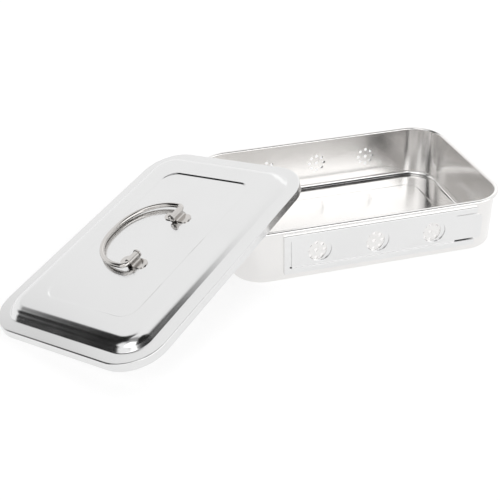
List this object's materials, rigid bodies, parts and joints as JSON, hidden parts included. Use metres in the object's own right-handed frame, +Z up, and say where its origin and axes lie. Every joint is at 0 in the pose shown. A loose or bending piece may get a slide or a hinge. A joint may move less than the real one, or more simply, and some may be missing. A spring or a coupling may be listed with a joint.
{
  "type": "lidded instrument tray",
  "caption": "Rectangular stainless steel instrument tray with a rolled rim and vented long walls with sliding shutters, and a domed lift-off lid with a folding wire handle, leaning on the tray.",
  "frame": {"origin": "centre of the tray's underside, on the plane that the tray stands on", "axes": "+Z up, out of the tray's mouth; +X along the tray's long side, towards the finger tab of the front shutter; +Y from the front shutter's wall towards the rear one"},
  "size_m": [0.4258, 0.258, 0.0715],
  "materials": {
    "tray_steel": "polished, with a soft grain inside",
    "lid_steel": "bright polished",
    "plate_steel": "bright polished",
    "rod_steel": "polished rod"
  },
  "bodies": {
    "base": {"tray_body": "tray_steel", "front_shutter_holder": "plate_steel", "rear_shutter_holder": "plate_steel"},
    "front_plate": {"front_shutter": "plate_steel"},
    "rear_plate": {"rear_shutter": "plate_steel"},
    "lid": {"lid_shell": "lid_steel", "handle_lug_left": "rod_steel", "handle_lug_right": "rod_steel"},
    "handle": {"lid_handle": "rod_steel"}
  },
  "joints": [
    {"name": "front_shutter_slide", "type": "slide", "parent": "base", "child": "front_plate", "axis": [1, 0, 0], "range_m": [-0.003, 0.017]},
    {"name": "rear_shutter_slide", "type": "slide", "parent": "base", "child": "rear_plate", "axis": [-1, 0, 0], "range_m": [-0.003, 0.017]},
    {"name": "lid_lift", "type": "slide", "parent": "base", "child": "lid", "axis": [0, 0, 1], "range_m": [0, 0.12]},
    {"name": "handle_fold", "type": "hinge", "parent": "lid", "child": "handle", "pos_m": [-0.17677, -0.05301, 0.04885], "axis": [0.7202, 0.6646, 0.1992], "range_deg": [0, 182.5]}
  ]
}
